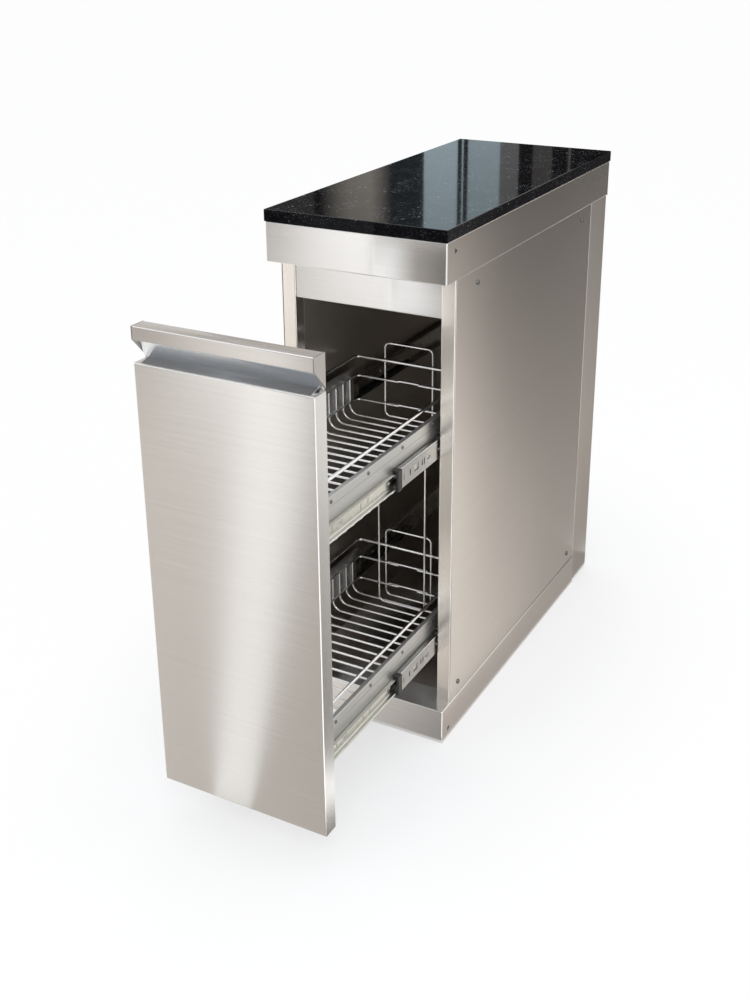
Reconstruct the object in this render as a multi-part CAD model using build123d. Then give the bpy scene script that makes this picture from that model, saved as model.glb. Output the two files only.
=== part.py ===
from build123d import *

import os

# Outdoor kitchen cabinet: a narrow sheet steel module with a stone worktop, and one tall drawer front that
# pulls two wire baskets out on ball-bearing slides. Millimetres. The origin is on the floor, in the middle
# of the cabinet's footprint. +X is to the right, the drawer opens towards -Y, and +Z is up. Every piece is
# drawn with the drawer shut, and what moves is then placed where the drawer stands pulled out.

# Cabinet
BODY_WIDTH = 325.0
BODY_DEPTH = 745.0
BODY_HEIGHT = 900.0
SHEET = 1.2
BEND = 2.0
SEAM = 0.3

# Worktop, which lies on the body
WORKTOP_THICKNESS = 20.0
WORKTOP_OVERHANG = 1.5
WORKTOP_EASE = 1.6

# Apron under the worktop, and the braces that cross it
APRON_HEIGHT = 67.0
APRON_FLANGE = 24.0
APRON_RETURN = 14.0
CORNER_LAP = 5.0
BRACE_WIDTH = 40.0
BRACE_HEIGHT = 20.0
BRACE_SETBACK = 190.0

# Posts and side panels
POST_WIDTH = 25.0
POST_SETBACK = 41.0
FRONT_POST_DEPTH = 26.0
REAR_POST_DEPTH = 88.0
REAR_POST_LIFT = 5.0
REAR_INSET = 2.0
SIDE_INSET = 2.0
PANEL_EASE = 0.6
PANEL_SCREW_SHANK = 5.0
PANEL_SCREW_HEAD = 9.0
PANEL_SCREW_DOME = 2.2
PANEL_SCREW_EDGE = 24.0
PANEL_SCREW_TOP_FRONT = 54.0
PANEL_SCREW_TOP_REAR = 48.0
PANEL_SCREW_FOOT_FRONT = 6.0
PANEL_SCREW_FOOT_REAR = 38.0
FASTENER_PLAY = 0.1

# Header between the posts
HEADER_DROP = 68.0
HEADER_LAP = 40.0
HEADER_SETBACK = 3.0
HEADER_RETURN = 18.0

# Plinth
PLINTH_HEIGHT = 65.0
PLINTH_SETBACK = 6.0
PLINTH_FOOT = 15.0
PLINTH_REAR_FLANGE = 20.0
PLINTH_BRACE_WIDTH = 40.0

# Holes in the sides that bolt one module to the next
JOIN_HOLE = 9.0
JOIN_SETBACK = 31.0
JOIN_EDGE = 18.0

# Drawer front and its handle
DRAWER_REVEAL = 13.5
DRAWER_THICKNESS = 28.0
DRAWER_GAP = 3.5
DRAWER_SHUT_GAP = 2.0
BAR_HEIGHT = 20.0
BAR_LIP = 15.0
GROOVE_HEIGHT = 30.5
GROOVE_RISE = 4.0
BAR_UNDERSIDE = 11.0
FACE_LIP = 4.0
END_TAB = 9.0
CAP_SEAM = 0.6
CAP_TAB = 8.0

# Ball-bearing slides: the cabinet member is fixed, and the middle and drawer members each reach one stage
SLIDE_LENGTH = 550.0
SLIDE_HEIGHT = 45.0
SLIDE_THICKNESS = 12.7
SLIDE_SHEET = 1.2
SLIDE_BEND = 1.6
SLIDE_LIP = 1.0
SLIDE_MOUTH = 1.2
SLIDE_SETBACK = 16.0
STAGE_TRAVEL = 280.0
MIDDLE_OUT = 148.0
DRAWER_STAGE_OUT = 230.0
UPPER_SLIDE_DROP = 222.0
LOWER_SLIDE_RISE = 108.0
BALL = 3.0
BALLS_IN_ROW = 6
RUN_GAP = 0.3
CAGE_SHEET = 0.3
CAGE_LENGTH = 220.0
CAGE_END_ROOM = 10.0
RIVET_SHANK = 4.2
RIVET_FLANGE = 9.0
RIVET_FLANGE_THICKNESS = 1.5
RIVET_INSET = 60.0
RIVETS_IN_MEMBER = 4
SLOTS_BETWEEN_RIVETS = 3
SLOT_LENGTH = 12.0
SLOT_WIDTH = 5.0
UPRIGHT_SLOT_HEIGHT = 10.0
UPRIGHT_SLOT_WIDTH = 3.0
MIDDLE_UPRIGHT_SLOTS = (10.0, 31.0, 73.0, 81.0)
DRAWER_UPRIGHT_SLOTS = (9.0, 22.0, 34.0, 118.0, 140.0)
WINDOW_AT = 53.0
WINDOW_LENGTH = 16.0
WINDOW_HEIGHT = 11.0
GUIDE_REACH = 12.0
GUIDE_SEAT = 6.0

# Basket rails
RAIL_SHEET = 1.5
RAIL_ABOVE = 50.0
RAIL_BELOW = 13.5
RAIL_LIP = 8.0
RAIL_FLANGE = 25.0
RAIL_GROOVE_DROP = 15.0
RAIL_GROOVE_WIDTH = 1.5
RAIL_GROOVE_DEPTH = 0.5
RAIL_SCREW_SHANK = 3.0
RAIL_SCREW_HEAD = 6.0
RAIL_SCREW_DOME = 1.4
RAIL_SCREW_EDGE = 8.0
RAIL_SCREW_PITCH = 110.0
RAIL_SCREW_COUNT = 5
FLANGE_SCREW_SPACING = 30.0

# Wire baskets, with heights from the slide's axis
BASKET_LENGTH = 548.0
RIM_WIRE = 5.5
BASKET_WIRE = 4.0
WELD_GAP = 0.05
RIM_RISE = 72.0
MIDDLE_WIRE_RISE = 35.0
LOW_WIRE_DROP = 11.0
FLOOR_DROP = 35.0
WIRE_CORNER = 10.0
CROSS_WIRE_BEND = 18.0
CROSS_WIRE_PITCH = 25.0
CROSS_WIRE_INSET = 18.5
FRONT_ROOM = 12.0
LEFT_WIRE_END = 28.0
RIGHT_WIRE_END = 12.0
GUARD_WIDTH = 95.0
GUARD_SHIFT = -10.0
GUARD_RISE = 104.0
TALL_GUARD_GAP = 65.0
CLIP_SPREAD = 120.0
CLIP_WIDTH = 12.0
CLIP_WALL = 2.5

# Planes and heights that follow from the sizes above
HALF_WIDTH = BODY_WIDTH / 2
Y_FRONT = -BODY_DEPTH / 2
Y_REAR = BODY_DEPTH / 2
Y_POST = Y_FRONT + POST_SETBACK
Y_POST_BACK = Y_POST + FRONT_POST_DEPTH
Y_BACK = Y_REAR - REAR_INSET
Y_REAR_POST = Y_BACK - REAR_POST_DEPTH
Y_PLINTH = Y_FRONT + PLINTH_SETBACK
X_PANEL = HALF_WIDTH - SIDE_INSET
X_BAY = X_PANEL - SHEET - POST_WIDTH
Z_TOP = BODY_HEIGHT - SHEET
Z_APRON = BODY_HEIGHT - APRON_HEIGHT
Z_HEADER = Z_APRON - HEADER_DROP
Z_PANEL_TOP = Z_APRON - SEAM

DRAWER_HALF = HALF_WIDTH - DRAWER_REVEAL
Y_DRAWER_BACK = Y_POST - DRAWER_SHUT_GAP
Y_DRAWER_FACE = Y_DRAWER_BACK - DRAWER_THICKNESS
Y_BACKING = Y_DRAWER_BACK - SHEET
Z_DRAWER = PLINTH_HEIGHT + DRAWER_GAP
Z_DRAWER_TOP = Z_APRON - DRAWER_GAP
Z_BAR = Z_DRAWER_TOP - BAR_HEIGHT
Z_CREASE = Z_BAR - GROOVE_HEIGHT
Z_FACE_TOP = Z_CREASE - GROOVE_RISE

Y_SLIDE = Y_POST + SLIDE_SETBACK
UPPER_AXIS = Z_HEADER - UPPER_SLIDE_DROP
LOWER_AXIS = PLINTH_HEIGHT + LOWER_SLIDE_RISE
AXES = {"upper": UPPER_AXIS, "lower": LOWER_AXIS}
RACE = BALL + 2 * RUN_GAP
MIDDLE_HALF = SLIDE_HEIGHT / 2 - SLIDE_SHEET - RACE
INNER_HALF = MIDDLE_HALF - SLIDE_SHEET - RACE
OUTER_ROW = MIDDLE_HALF + RACE / 2
INNER_ROW = INNER_HALF + RACE / 2
RIVET_PITCH = (SLIDE_LENGTH - 2 * RIVET_INSET) / (RIVETS_IN_MEMBER - 1)

# Depths through a slide, from the cabinet wall towards the basket
OUTER_CAGE_AT = SLIDE_SHEET + RUN_GAP
MIDDLE_WEB = OUTER_CAGE_AT + CAGE_SHEET + RUN_GAP
INNER_CAGE_AT = MIDDLE_WEB + SLIDE_SHEET + RUN_GAP
INNER_TIP = INNER_CAGE_AT + CAGE_SHEET + RUN_GAP
INNER_WEB = SLIDE_THICKNESS - SLIDE_SHEET
OUTER_TIP = SLIDE_THICKNESS - SLIDE_MOUTH
MIDDLE_TIP = INNER_WEB - 2 * RUN_GAP
CAGE_TIP = MIDDLE_TIP - SLIDE_SHEET - RUN_GAP
INNER_BALL_AT = (INNER_TIP + SLIDE_SHEET + CAGE_TIP) / 2
OUTER_BALL_AT = (MIDDLE_WEB + CAGE_TIP) / 2

X_RAIL = X_BAY - SLIDE_THICKNESS
X_UPRIGHT = X_RAIL - RAIL_SHEET - WELD_GAP - BASKET_WIRE / 2
X_WIRE = X_UPRIGHT - BASKET_WIRE - WELD_GAP
Y_BASKET_REAR = Y_BACKING + BASKET_LENGTH
Y_LAST_CROSS = Y_BASKET_REAR - CROSS_WIRE_INSET
CROSS_WIRES = int((Y_LAST_CROSS - Y_BACKING - FRONT_ROOM) // CROSS_WIRE_PITCH) + 1
GUARD_LEFT = GUARD_SHIFT - GUARD_WIDTH / 2
GUARD_RIGHT = GUARD_SHIFT + GUARD_WIDTH / 2

# Where each moving group stands with the drawer pulled out as shown
DRAWER_OUT = MIDDLE_OUT + DRAWER_STAGE_OUT
OUTER_CAGE_OUT = MIDDLE_OUT / 2
INNER_CAGE_OUT = MIDDLE_OUT + DRAWER_STAGE_OUT / 2
# A cage rides half a stage, and stays clear of the member's end when the stage is fully out
Y_CAGE = Y_SLIDE + STAGE_TRAVEL / 2 + CAGE_END_ROOM


def block(x, y, z):
    """A box between a low and a high limit along each axis."""
    size = Box(x[1] - x[0], y[1] - y[0], z[1] - z[0])
    return Pos((x[0] + x[1]) / 2, (y[0] + y[1]) / 2, (z[0] + z[1]) / 2) * size


def rod(radius, start, end):
    """A round bar from one point to another."""
    axis = Vector(*end) - Vector(*start)
    return extrude(Plane(origin=start, z_dir=axis) * Circle(radius), amount=axis.length)


def wire(diameter, points, bend, closed=False):
    """A round wire along straight runs with bent corners."""
    path = FilletPolyline(*points, radius=bend, close=closed)
    return sweep(Plane(origin=path @ 0, z_dir=path % 0) * Circle(diameter / 2), path=path)


def section(points, side, thickness, bend):
    """The cross section of a folded sheet, whose thickness lies on one side of its outline."""
    outline = FilletPolyline(*points, radius=bend)
    return make_face(offset(outline, amount=thickness, side=side).edges())


def along_x(face, x):
    """A section drawn as (y, z), run between two x limits."""
    return extrude(Plane.YZ.offset(x[0]) * face, amount=x[1] - x[0])


def along_y(face, y):
    """A section drawn as (x, z), run between two y limits."""
    return extrude(Plane.XZ.offset(-y[1]) * face, amount=y[1] - y[0])


def both_sides(half):
    """The limits of something centred on the cabinet."""
    return (-half, half)


def pair(left):
    """A left-hand piece and its mirror image on the right."""
    return {"left": left, "right": mirror(left, about=Plane.YZ)}


def group(pieces):
    """Separate solids that share one node."""
    return Compound(children=[solid for piece in pieces for solid in piece.solids()])


def worktop():
    """The stone slab, with every edge eased."""
    half = HALF_WIDTH + WORKTOP_OVERHANG
    y = (Y_FRONT - WORKTOP_OVERHANG, Y_REAR + WORKTOP_OVERHANG)
    slab = block(both_sides(half), y, (BODY_HEIGHT, BODY_HEIGHT + WORKTOP_THICKNESS))
    return fillet(slab.edges(), WORKTOP_EASE)


def front_pan(y, z):
    """A sheet across the cabinet between limits, folded back all round and open behind."""
    pan = block(both_sides(HALF_WIDTH), y, z)
    front = pan.faces().sort_by(Axis.Y)[0]
    side_folds = pan.faces().sort_by(Axis.Z)[-1].edges().filter_by(Axis.Y)
    pan = fillet(front.edges() + side_folds, BEND)
    return pan - block(both_sides(HALF_WIDTH - SHEET), (y[0] + SHEET, y[1]), (z[0] + SHEET, z[1] - SHEET))


def end_strips(y, z):
    """What is cut from a front sheet behind its corner laps, so that the side sheets can pass."""
    inner = HALF_WIDTH - SHEET - SEAM
    return [block(x, y, z) for x in ((-HALF_WIDTH, -inner), (inner, HALF_WIDTH))]


def apron_face(lower_return):
    """An apron sheet across the cabinet, with a flange under the worktop and a return of some depth below."""
    y = (Y_FRONT, Y_FRONT + APRON_FLANGE)
    z = (Z_APRON, BODY_HEIGHT)
    sheet = front_pan(y, z)
    for strip in end_strips((Y_FRONT + CORNER_LAP, y[1]), z):
        sheet -= strip
    behind = (Y_FRONT + lower_return, y[1])
    return sheet - block(both_sides(HALF_WIDTH - SHEET), behind, (Z_APRON, Z_APRON + SHEET))


def apron_front():
    """The front sheet, lapped round both corners."""
    return apron_face(APRON_RETURN)


def apron_rear():
    """The rear sheet, drawn as a front one without the return, since the rear posts stand there."""
    return mirror(apron_face(SHEET), about=Plane.XZ)


def apron_left():
    """The left sheet, with a joining hole and, except where the posts pass, a return below."""
    face = [
        (-HALF_WIDTH + APRON_RETURN, Z_APRON),
        (-HALF_WIDTH, Z_APRON),
        (-HALF_WIDTH, BODY_HEIGHT),
        (-HALF_WIDTH + APRON_FLANGE, BODY_HEIGHT),
    ]
    sheet = along_y(section(face, Side.RIGHT, SHEET, BEND), both_sides(Y_REAR - CORNER_LAP - SEAM))
    inside = (-HALF_WIDTH + SHEET, -HALF_WIDTH + APRON_FLANGE + SHEET)
    clear = Y_REAR - APRON_FLANGE - SEAM
    for y in ((-Y_REAR, -clear), (clear, Y_REAR)):
        sheet -= block(inside, y, (Z_TOP - BEND, BODY_HEIGHT))
    corner = (Y_FRONT, Y_FRONT + APRON_RETURN + SEAM)
    front_notch = (Y_POST - SEAM, Y_POST_BACK + SEAM)
    rear_notch = (Y_REAR_POST - SEAM, Y_REAR)
    for y in (corner, front_notch, rear_notch):
        sheet -= block(inside, y, (Z_APRON, Z_APRON + SHEET + BEND))
    return sheet - join_hole(BODY_HEIGHT - JOIN_EDGE)


def join_hole(z):
    """The cut for a joining bolt through the left side."""
    y = Y_FRONT + JOIN_SETBACK
    reach = SHEET + SEAM
    return rod(JOIN_HOLE / 2, (-HALF_WIDTH - reach, y, z), (-HALF_WIDTH + reach, y, z))


def worktop_braces():
    """Two channels across the cabinet under the side flanges."""
    points = [
        (-BRACE_WIDTH / 2, Z_TOP - BRACE_HEIGHT),
        (-BRACE_WIDTH / 2, Z_TOP),
        (BRACE_WIDTH / 2, Z_TOP),
        (BRACE_WIDTH / 2, Z_TOP - BRACE_HEIGHT),
    ]
    half = X_PANEL - SHEET - SEAM
    brace = along_x(section(points, Side.RIGHT, SHEET, BEND), both_sides(half))
    return group([Pos(0, y, 0) * brace for y in (Y_FRONT + BRACE_SETBACK, Y_REAR - BRACE_SETBACK)])


def post(x, y, z):
    """A square tube with rounded corners, standing between limits."""
    width = x[1] - x[0]
    depth = y[1] - y[0]
    wall = RectangleRounded(width, depth, BEND)
    wall -= RectangleRounded(width - 2 * SHEET, depth - 2 * SHEET, BEND - SHEET)
    return extrude(Pos((x[0] + x[1]) / 2, (y[0] + y[1]) / 2, z[0]) * wall, amount=z[1] - z[0])


def front_post_left():
    """The left front post, from the plinth ledge to the apron flange."""
    x = (-X_BAY - POST_WIDTH, -X_BAY)
    return post(x, (Y_POST, Y_POST_BACK), (PLINTH_HEIGHT, Z_TOP))


def rear_post_left():
    """The left rear post, which stands outside the inner wall and reaches almost to the floor."""
    return post((-X_PANEL, -X_BAY - SHEET), (Y_REAR_POST, Y_BACK), (REAR_POST_LIFT, Z_TOP))


def panel_screw_places():
    """Where the side panel's four screws stand, as (y, z)."""
    rear = Y_REAR_POST - SEAM
    high = Z_APRON - PANEL_SCREW_EDGE
    low = PLINTH_HEIGHT + PANEL_SCREW_EDGE
    return [
        (Y_POST_BACK + PANEL_SCREW_TOP_FRONT, high),
        (rear - PANEL_SCREW_TOP_REAR, high),
        (Y_POST_BACK + PANEL_SCREW_FOOT_FRONT, low),
        (rear - PANEL_SCREW_FOOT_REAR, low),
    ]


def panel_screw_cut(y, z):
    """The hole for one panel screw, through the left panel and the left inner wall."""
    radius = PANEL_SCREW_SHANK / 2 + FASTENER_PLAY
    return rod(radius, (-X_PANEL - SHEET, y, z), (-X_BAY + SHEET, y, z))


def side_panel_left():
    """The left outer panel, from post to post and up to the apron, with eased edges."""
    x = (-X_PANEL, -X_PANEL + SHEET)
    panel = block(x, (Y_POST, Y_REAR_POST - SEAM), (PLINTH_HEIGHT, Z_PANEL_TOP))
    panel = fillet(panel.faces().sort_by(Axis.X)[0].edges(), PANEL_EASE)
    for y, z in panel_screw_places():
        panel -= panel_screw_cut(y, z)
    return panel


def inner_wall_left():
    """The left wall of the bay, which carries the slides."""
    x = (-X_BAY - SHEET, -X_BAY)
    wall = block(x, (Y_POST_BACK, Y_BACK), (PLINTH_HEIGHT, Z_TOP - BRACE_HEIGHT - SEAM))
    for y, z in panel_screw_places():
        wall -= panel_screw_cut(y, z)
    for axis in AXES.values():
        for y in rivet_places():
            wall -= rivet_cut(y, axis)
    return wall


def panel_screw(y, z):
    """A button-head screw from the left panel to the inner wall."""
    seat = -X_PANEL - WELD_GAP
    shank = rod(PANEL_SCREW_SHANK / 2, (seat, y, z), (-X_BAY, y, z))
    head = rod(PANEL_SCREW_HEAD / 2, (seat - PANEL_SCREW_DOME, y, z), (seat, y, z))
    rim = head.edges().filter_by(GeomType.CIRCLE).sort_by(Axis.X)[0]
    return shank + fillet(rim, PANEL_SCREW_DOME * 0.8)


def side_panel_screws():
    """All the panel screws, left and right."""
    left = [panel_screw(y, z) for y, z in panel_screw_places()]
    return group(left + [mirror(screw, about=Plane.YZ) for screw in left])


def header_panel():
    """The panel between the posts above the opening, with a return along its lower edge."""
    y = Y_POST + HEADER_SETBACK
    points = [(y + HEADER_RETURN, Z_HEADER), (y, Z_HEADER), (y, Z_APRON + HEADER_LAP)]
    return along_x(section(points, Side.RIGHT, SHEET, BEND), both_sides(X_BAY - SEAM))


def back_panel():
    """The sheet that closes the bay at the rear."""
    return block(both_sides(X_BAY - SEAM), (Y_BACK - SHEET, Y_BACK), (PLINTH_HEIGHT, Z_TOP))


def floor_panel():
    """The bay's floor, level with the plinth ledge and flanges."""
    half = X_BAY + SHEET - SEAM
    return block(both_sides(half), (Y_POST_BACK + SEAM, Y_BACK), (PLINTH_HEIGHT - SHEET, PLINTH_HEIGHT))


def plinth_front():
    """The front board, lapped round both corners, whose ledge carries the front posts."""
    y = (Y_PLINTH, Y_POST_BACK)
    board = front_pan(y, (0, PLINTH_HEIGHT))
    for strip in end_strips((Y_PLINTH + CORNER_LAP, y[1]), (0, PLINTH_HEIGHT - SHEET)):
        board -= strip
    return board - block(both_sides(HALF_WIDTH - SHEET), (Y_PLINTH + PLINTH_FOOT, y[1]), (0, SHEET))


def plinth_left():
    """The left board, under the front ledge and then with a flange of its own that carries the panel."""
    points = [
        (-HALF_WIDTH + PLINTH_FOOT, 0),
        (-HALF_WIDTH, 0),
        (-HALF_WIDTH, PLINTH_HEIGHT),
        (-X_BAY - SHEET, PLINTH_HEIGHT),
    ]
    start = Y_PLINTH + CORNER_LAP + SEAM
    board = along_y(section(points, Side.RIGHT, SHEET, BEND), (start, Y_REAR_POST - SEAM))
    ledge_end = Y_POST_BACK + SEAM
    board -= block((-HALF_WIDTH, -X_BAY), (start, ledge_end), (PLINTH_HEIGHT - SHEET, PLINTH_HEIGHT))
    foot = (-HALF_WIDTH + SHEET, -HALF_WIDTH + PLINTH_FOOT)
    board -= block(foot, (start, Y_PLINTH + PLINTH_FOOT + SEAM), (0, BEND))
    return board - join_hole(JOIN_EDGE)


def plinth_rear():
    """The rear board between the rear posts, drawn as a front one."""
    y = -Y_BACK
    top = PLINTH_HEIGHT - SHEET
    points = [(y + PLINTH_FOOT, 0), (y, 0), (y, top), (y + PLINTH_REAR_FLANGE, top)]
    half = X_BAY + SHEET - SEAM
    return mirror(along_x(section(points, Side.RIGHT, SHEET, BEND), both_sides(half)), about=Plane.XZ)


def plinth_brace():
    """A channel across the plinth that stands on the floor and carries the middle of the bay's floor."""
    y = PLINTH_BRACE_WIDTH / 2
    top = PLINTH_HEIGHT - SHEET
    points = [(y, 0), (-y, 0), (-y, top), (y, top)]
    half = HALF_WIDTH - PLINTH_FOOT - SEAM
    return along_x(section(points, Side.RIGHT, SHEET, BEND), both_sides(half))


def drawer_face():
    """The drawer front as a pan, open behind and, between two end tabs, on top."""
    x = both_sides(DRAWER_HALF)
    inner_x = both_sides(DRAWER_HALF - SHEET)
    pan = block(x, (Y_DRAWER_FACE, Y_DRAWER_BACK), (Z_DRAWER, Z_FACE_TOP))
    front = pan.faces().sort_by(Axis.Y)[0]
    pan = fillet(front.edges(), BEND)
    inner_y = (Y_DRAWER_FACE + SHEET, Y_DRAWER_BACK)
    pan -= block(inner_x, inner_y, (Z_DRAWER + SHEET, Z_FACE_TOP - SHEET))
    mouth_y = (Y_DRAWER_FACE + FACE_LIP, Y_DRAWER_BACK)
    pan -= block(both_sides(DRAWER_HALF - END_TAB), mouth_y, (Z_FACE_TOP - SHEET, Z_FACE_TOP))
    tab_end = (Y_BACKING - SHEET - SEAM, Y_DRAWER_BACK)
    return pan - block(inner_x, tab_end, (Z_FACE_TOP - SHEET, Z_FACE_TOP))


def drawer_backing():
    """The flat sheet inside the pan, which carries the handle in front and the rails behind."""
    half = DRAWER_HALF - SHEET - SEAM
    z = (Z_DRAWER + SHEET + SEAM, Z_DRAWER_TOP - BEND)
    backing = block(both_sides(half), (Y_BACKING - SHEET, Y_BACKING), z)
    for screw_x, z in flange_screw_places():
        for x in (-screw_x, screw_x):
            backing -= rail_screw_cut((x, Y_BACKING - SHEET, z), (x, Y_BACKING, z))
    return backing


def handle_bar():
    """The bar across the top of the drawer front, with a lip down behind the backing."""
    points = [
        (Y_DRAWER_FACE, Z_BAR),
        (Y_DRAWER_FACE, Z_DRAWER_TOP),
        (Y_DRAWER_BACK, Z_DRAWER_TOP),
        (Y_DRAWER_BACK, Z_DRAWER_TOP - BAR_LIP),
    ]
    half = DRAWER_HALF - SHEET - CAP_SEAM
    return along_x(section(points, Side.RIGHT, SHEET, BEND), both_sides(half))


def handle_groove():
    """The finger groove: a ledge behind the face's top edge, and a slope from its back up under the bar."""
    crease = Y_BACKING - 2 * SHEET - WELD_GAP
    outline = Polyline(
        (Y_DRAWER_FACE + FACE_LIP + SEAM, Z_FACE_TOP),
        (crease, Z_CREASE),
        (Y_DRAWER_FACE + BAR_UNDERSIDE, Z_BAR),
        (Y_DRAWER_FACE + SHEET + SEAM, Z_BAR),
    )
    sheet = make_face(offset(outline, amount=SHEET, side=Side.RIGHT).edges())
    half = DRAWER_HALF - SHEET - CAP_SEAM
    groove = along_x(sheet, both_sides(half))
    ledge = DRAWER_HALF - END_TAB - SEAM
    for x in ((-half, -ledge), (ledge, half)):
        groove -= block(x, (Y_DRAWER_FACE, Y_BACKING), (Z_FACE_TOP - 2 * SHEET, Z_CREASE))
    return groove


def handle_cap_left():
    """The plate that closes the bar's left end, with a tab that seats under the bar."""
    outline = Polyline(
        (Y_DRAWER_FACE, Z_BAR),
        (Y_DRAWER_FACE, Z_DRAWER_TOP),
        (Y_DRAWER_BACK, Z_DRAWER_TOP),
        (Y_DRAWER_BACK, Z_CREASE),
        close=True,
    )
    plate = along_x(make_face(outline.edges()), (-DRAWER_HALF, -DRAWER_HALF + SHEET))
    tab_x = (-DRAWER_HALF + SHEET, -DRAWER_HALF + SHEET + CAP_TAB)
    tab_y = (Y_DRAWER_FACE + SHEET + SEAM, Y_BACKING - SHEET - SEAM)
    return plate + block(tab_x, tab_y, (Z_DRAWER_TOP - 2 * SHEET, Z_DRAWER_TOP - SHEET))


def rivet_places():
    """Where the rivets stand along a cabinet slide member."""
    return [Y_SLIDE + RIVET_INSET + i * RIVET_PITCH for i in range(RIVETS_IN_MEMBER)]


def slot_places():
    """Where the slots stand along a member, between its rivets."""
    step = RIVET_PITCH / (SLOTS_BETWEEN_RIVETS + 1)
    return [y + step * (i + 1) for y in rivet_places()[:-1] for i in range(SLOTS_BETWEEN_RIVETS)]


def slot_cut(depth, y, axis):
    """A slot through a member's web, at a depth from the left wall."""
    slot = Plane(origin=(-X_BAY + depth, y, axis), z_dir=(1, 0, 0), x_dir=(0, 1, 0))
    return extrude(slot * SlotOverall(SLOT_LENGTH, SLOT_WIDTH), amount=SLIDE_SHEET, both=True)


def web_cut(depth, at, length, height, axis):
    """An upright opening through a member's web, at a distance from the member's front end."""
    x = (-X_BAY + depth, -X_BAY + depth + SLIDE_SHEET)
    y = Y_SLIDE + at
    return block(x, (y - length / 2, y + length / 2), (axis - height / 2, axis + height / 2))


def rivet_cut(y, axis):
    """The hole for one rivet, through the left inner wall and the web of a member on it."""
    radius = RIVET_SHANK / 2 + FASTENER_PLAY
    return rod(radius, (-X_BAY - SHEET, y, axis), (-X_BAY + SLIDE_SHEET, y, axis))


def channel(points, axis):
    """A left slide member from its section, drawn as depth from the wall and height from its axis."""
    placed = [(-X_BAY + depth, axis + height) for depth, height in points]
    return along_y(section(placed, Side.LEFT, SLIDE_SHEET, SLIDE_BEND), (Y_SLIDE, Y_SLIDE + SLIDE_LENGTH))


def race_points(web, tip, half):
    """The outline of a member whose flanges turn in at their tips to hold the balls."""
    lip = half - SLIDE_SHEET - SLIDE_LIP
    return [(tip, lip), (tip, half), (web, half), (web, -half), (tip, -half), (tip, -lip)]


def slide_outer_left(axis):
    """The cabinet member, riveted to the wall."""
    member = channel(race_points(0, OUTER_TIP, SLIDE_HEIGHT / 2), axis)
    for y in rivet_places():
        member -= rivet_cut(y, axis)
    for y in slot_places():
        member -= slot_cut(SLIDE_SHEET / 2, y, axis)
    return member


def slide_middle_left(axis):
    """The middle member, which runs in the cabinet member."""
    member = channel(race_points(MIDDLE_WEB, MIDDLE_TIP, MIDDLE_HALF), axis)
    for y in slot_places():
        member -= slot_cut(MIDDLE_WEB + SLIDE_SHEET / 2, y, axis)
    for at in MIDDLE_UPRIGHT_SLOTS:
        member -= web_cut(MIDDLE_WEB, at, UPRIGHT_SLOT_WIDTH, UPRIGHT_SLOT_HEIGHT, axis)
    return member - web_cut(MIDDLE_WEB, WINDOW_AT, WINDOW_LENGTH, WINDOW_HEIGHT, axis)


def slide_inner_left(axis):
    """The drawer member, whose flanges turn out at their tips and whose web lies on the rail."""
    lip = INNER_HALF + SLIDE_LIP
    inside = INNER_HALF - SLIDE_SHEET
    member = channel([
        (INNER_TIP, lip),
        (INNER_TIP, inside),
        (INNER_WEB, inside),
        (INNER_WEB, -inside),
        (INNER_TIP, -inside),
        (INNER_TIP, -lip),
    ], axis)
    for y in rivet_places():
        member -= slot_cut(INNER_WEB + SLIDE_SHEET / 2, y, axis)
    for at in DRAWER_UPRIGHT_SLOTS:
        member -= web_cut(INNER_WEB, at, UPRIGHT_SLOT_WIDTH, UPRIGHT_SLOT_HEIGHT, axis)
    return member


def slide_rivet(y, axis):
    """A rivet flush with the member's web, with its flange behind the left wall."""
    wall = -X_BAY - SHEET
    flange = rod(RIVET_FLANGE / 2, (wall - RIVET_FLANGE_THICKNESS, y, axis), (wall, y, axis))
    return flange + rod(RIVET_SHANK / 2, (wall, y, axis), (-X_BAY + SLIDE_SHEET, y, axis))


def end_guide(axis):
    """A plastic guide on the front of the left middle member, open for the drawer member to pass."""
    wall = -X_BAY
    passage = INNER_HALF + SLIDE_LIP + RUN_GAP
    end = Y_SLIDE - WELD_GAP
    front = (end - GUIDE_REACH, end)
    guide = block((wall + RUN_GAP, wall + MIDDLE_TIP), front, (axis - MIDDLE_HALF, axis + MIDDLE_HALF))
    open_x = (wall + INNER_TIP - RUN_GAP, wall + MIDDLE_TIP)
    guide -= block(open_x, front, (axis - passage, axis + passage))
    seat_x = (wall + INNER_TIP, wall + CAGE_TIP)
    seat = MIDDLE_HALF - SLIDE_SHEET - WELD_GAP
    tail = (end, end + GUIDE_SEAT)
    guide += block(seat_x, tail, (axis + passage, axis + seat))
    return guide + block(seat_x, tail, (axis - seat, axis - passage))


def ball_places(depth, row, axis):
    """Where a left cage's balls stand: two rows, evenly spaced along the cage."""
    step = CAGE_LENGTH / BALLS_IN_ROW
    ys = [Y_CAGE + step * (i + 0.5) for i in range(BALLS_IN_ROW)]
    return [(-X_BAY + depth, y, axis + side * row) for y in ys for side in (-1, 1)]


def ball_cage(start, depth, row, axis):
    """A left ball cage: a thin channel with a hole round each ball."""
    x = (-X_BAY + start, -X_BAY + CAGE_TIP)
    y = (Y_CAGE, Y_CAGE + CAGE_LENGTH)
    half = row + CAGE_SHEET / 2
    cage = block(x, y, (axis - half, axis + half))
    cage -= block((x[0] + CAGE_SHEET, x[1]), y, (axis - half + CAGE_SHEET, axis + half - CAGE_SHEET))
    for ball_x, ball_y, ball_z in ball_places(depth, row, axis):
        low = (ball_x, ball_y, ball_z - CAGE_SHEET)
        cage -= rod(BALL / 2 + FASTENER_PLAY, low, (ball_x, ball_y, ball_z + CAGE_SHEET))
    return cage


def balls(depth, row, axis):
    """The balls of one left cage."""
    return [Pos(*place) * Sphere(BALL / 2) for place in ball_places(depth, row, axis)]


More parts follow.
